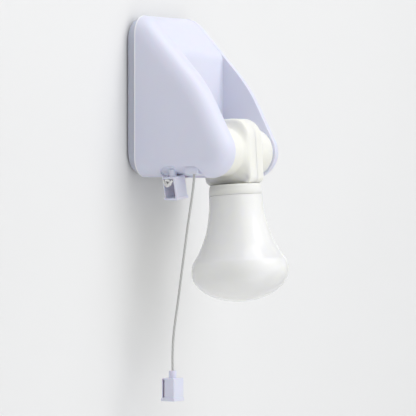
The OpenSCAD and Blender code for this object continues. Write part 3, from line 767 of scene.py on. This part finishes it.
NECK_R, COLLAR_H, GLOBE_R, GLOBE_Z, DOME_H, GLOBE_T = 16.5, 6.6, 30.2, 73.75, 18.75, 1.2
COLLAR_LOW = NECK_Z - COLLAR_H
collar = lathe([
    (NECK_R - 2.4, NECK_Z - 0.05), (NECK_R - 1.0, NECK_Z - 0.05), (NECK_R - 0.85, NECK_Z - 0.2),
    (NECK_R - 0.55, NECK_Z - 1.6), (NECK_R - 0.2, NECK_Z - 3), (NECK_R, COLLAR_LOW + 0.5),
    (NECK_R - 0.25, COLLAR_LOW + 0.05), (NECK_R - 1.6, COLLAR_LOW), (NECK_R - 1.6, NECK_Z - 1.4),
    (NECK_R - 2.4, NECK_Z - 1.4)], "neck_ring")
settle(collar, "bulb", "ivory_plastic", ["neck_collar"], turn=tilt, angle=40)


SPIGOT_R = NECK_R - 1.65


def globe_line(t):
    """Half outline of the globe, t inside its skin, as (radius, depth below the pivot)."""
    r = GLOBE_R - t
    side = bezier((NECK_R - t, 0.05 - COLLAR_LOW + 1.2 * t), (NECK_R + 0.3 - t, 48),
                  (r - 6.7, 60), (r - 1.3, 67.5 - 0.3 * t), 26)
    middle = bezier(side[-1], (r - 0.55, 69.4 - 0.2 * t), (r, 71.4), (r, GLOBE_Z), 8)[1:]
    dome = [(r * math.cos(a), GLOBE_Z + (DOME_H - t) * math.sin(a)) for a in np.radians(range(4, 88, 4))]
    return side + middle + dome + [(0.0, GLOBE_Z + DOME_H - t)]


globe = lathe([(SPIGOT_R - GLOBE_T, NECK_Z - 1.5), (SPIGOT_R, NECK_Z - 1.5), (SPIGOT_R, COLLAR_LOW - 0.05)]
              + [(r, -z) for r, z in globe_line(0)] + [(r, -z) for r, z in reversed(globe_line(GLOBE_T))]
              + [(SPIGOT_R - GLOBE_T, COLLAR_LOW - 0.05 - 1.2 * GLOBE_T)], "globe_shade", 128)
clean(globe, 0.0005)
settle(globe, "bulb", "globe_plastic", ["globe"], turn=tilt, angle=50)


# ---- wall side: plate, foam pad and tray get their edges eased ----

def weld(bm):
    """Joins the corners of a CAD mesh and takes away edges inside its flat faces."""
    bmesh.ops.remove_doubles(bm, verts=bm.verts, dist=0.002)
    bmesh.ops.dissolve_limit(bm, angle_limit=math.radians(1), verts=bm.verts, edges=bm.edges)


def eased(node, name, width, look, body):
    """A copy of a CAD node's mesh, welded and with its edges eased, which stands for it."""
    piece = bpy.data.objects.new(name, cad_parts[node].data.copy())
    scene.collection.objects.link(piece)
    piece.data.transform(Matrix.Scale(1 / MM, 4))
    edit(piece, weld)
    bevel(piece, width, angle=40)
    return settle(piece, body, look, [node])


eased("wall_plate", "wall_plate_body", 0.5, "plate_plastic", "wall_plate")
eased("battery_tray", "battery_tray_body", 0.25, "tray_plastic", "housing")
eased("tray_screws", "tray_screw_set", 0.2, "steel", "housing")
eased("front_cord_bush", "front_cord_bush_body", 0.35, "housing_plastic", "housing")
eased("rear_cord_bush", "rear_cord_bush_body", 0.25, "housing_plastic", "housing")
eased("knuckle_screws", "knuckle_screw_set", 0.2, "steel", "bulb")
pad = eased("adhesive_pad", "adhesive_pad_foam", 0.2, "pad_foam", "wall_plate")


# ---- CAD nodes that stay as they are get their finish ----

KEPT = {
    "steel": ["cell_springs", "switch_screws", "lever_pin", "return_spring", "roller_pin", "pivot_clips"],
    "contact_brass": ["cell_contacts", "fixed_contacts", "moving_contact"],
    "cell_jacket": ["cell_1", "cell_2", "cell_3", "cell_4"],
    "tray_plastic": ["switch_base", "switch_lever", "lever_roller"],
    "ivory_plastic": ["ratchet_rotor", "led_holder"],
    "cord_loop_braid": ["cord_loop"],
    "board": ["led_board"],
    "led_lens": ["leds"],
    "wire_sleeve_red": ["wires", "bulb_wires"],
}
for look, nodes in KEPT.items():
    for node in nodes:
        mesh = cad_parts[node].data
        mesh.materials.clear()
        mesh.materials.append(LOOKS[look])
        if look.startswith("wire_sleeve"):
            mesh.materials.append(LOOKS["wire_sleeve_black"])


# ---- wall, floor and light ----

def backdrop(name, tone, size, place, turn, opening=None):
    """A pale sheet that only its front side shows, with an opening hidden behind the wall plate."""
    look = Look(name, Specular_IOR_Level=0.1, Roughness=0.9)
    look.colour(look.ramp(look.noise(3), [(0.3, (tone - 0.01,) * 3), (0.7, (tone + 0.01,) * 3)]))
    nodes = look.tree.nodes
    clear = nodes.new("ShaderNodeBsdfTransparent")
    mix = nodes.new("ShaderNodeMixShader")
    side = nodes.new("ShaderNodeNewGeometry")
    look.link(side.outputs["Backfacing"], mix.inputs["Fac"])
    look.link(look.shader.outputs["BSDF"], mix.inputs[1])
    look.link(clear.outputs["BSDF"], mix.inputs[2])
    look.link(mix.outputs["Shader"], nodes["Material Output"].inputs["Surface"])
    half = size / 2
    corners = [(-half, -half, 0), (half, -half, 0), (half, half, 0), (-half, half, 0)]
    faces = [(0, 1, 2, 3)]
    if opening:
        x, y = opening
        corners += [(-x, -y, 0), (x, -y, 0), (x, y, 0), (-x, y, 0)]
        faces = [(0, 1, 5, 4), (1, 2, 6, 5), (2, 3, 7, 6), (3, 0, 4, 7)]
    sheet = new_object(name, corners, faces)
    sheet.data.materials.append(look.material)
    sheet.matrix_world = Matrix.Translation(place) @ turn


STAGE_SIZE = 8.0
WALL_GAP = 0.0002
upright = Matrix.Rotation(math.radians(90), 4, "X")
backdrop("wall", 0.80, STAGE_SIZE, (0, WALL_GAP, 0), upright, (0.030, 0.040))
backdrop("floor", 0.96, STAGE_SIZE, (0, 0.01 - STAGE_SIZE / 2, -1.6), Matrix.Identity(4))


def area_light(name, place, aim, size, power):
    data = bpy.data.lights.new(name, "AREA")
    data.shape = "DISK"
    data.size = size
    data.energy = power
    lamp = bpy.data.objects.new(name, data)
    scene.collection.objects.link(lamp)
    lamp.location = place
    lamp.rotation_mode = "QUATERNION"
    lamp.rotation_quaternion = (Vector(aim) - Vector(place)).to_track_quat("-Z", "Y")


area_light("key", (-0.02, -1.35, 0.40), (0, 0, -0.05), 2.3, 8.4)
area_light("top", (0.05, -0.50, 1.10), (0, -0.03, 0), 0.9, 4.6)
area_light("fill", (-0.25, -1.00, -0.90), (0, 0, -0.08), 1.0, 2.6)
area_light("window", (0.21, -0.85, 0.47), (0, -0.06, -0.10), 0.4, 1.0)
area_light("back", (-0.35, 1.20, 0.60), (0, 0.2, -0.15), 1.2, 7)

ROOM_LIGHT = 0.41
world = bpy.data.worlds.new("studio")
scene.world = world
world.use_nodes = True
tree = world.node_tree
tree.nodes.clear()
ray = tree.nodes.new("ShaderNodeLightPath")
lighting = tree.nodes.new("ShaderNodeBackground")
lighting.inputs["Color"].default_value = (0.98, 0.99, 1.0, 1)
way = tree.nodes.new("ShaderNodeTexCoord")
parts = tree.nodes.new("ShaderNodeSeparateXYZ")
tree.links.new(way.outputs["Generated"], parts.inputs["Vector"])
strength = None
# The room is brighter to the right, in front and above.
for axis, gain in (("X", 0.12), ("Y", -0.20), ("Z", 0.12)):
    term = tree.nodes.new("ShaderNodeMath")
    term.operation = "MULTIPLY_ADD"
    term.inputs[1].default_value = gain
    tree.links.new(parts.outputs[axis], term.inputs[0])
    if strength is None:
        term.inputs[2].default_value = ROOM_LIGHT
    else:
        tree.links.new(strength, term.inputs[2])
    strength = term.outputs[0]
tree.links.new(strength, lighting.inputs["Strength"])
seen = tree.nodes.new("ShaderNodeBackground")
seen.inputs["Color"].default_value = (0.84, 0.84, 0.85, 1)
seen.inputs["Strength"].default_value = 1.0
mix = tree.nodes.new("ShaderNodeMixShader")
out = tree.nodes.new("ShaderNodeOutputWorld")
tree.links.new(ray.outputs["Is Camera Ray"], mix.inputs["Fac"])
tree.links.new(lighting.outputs["Background"], mix.inputs[1])
tree.links.new(seen.outputs["Background"], mix.inputs[2])
tree.links.new(mix.outputs["Shader"], out.inputs["Surface"])
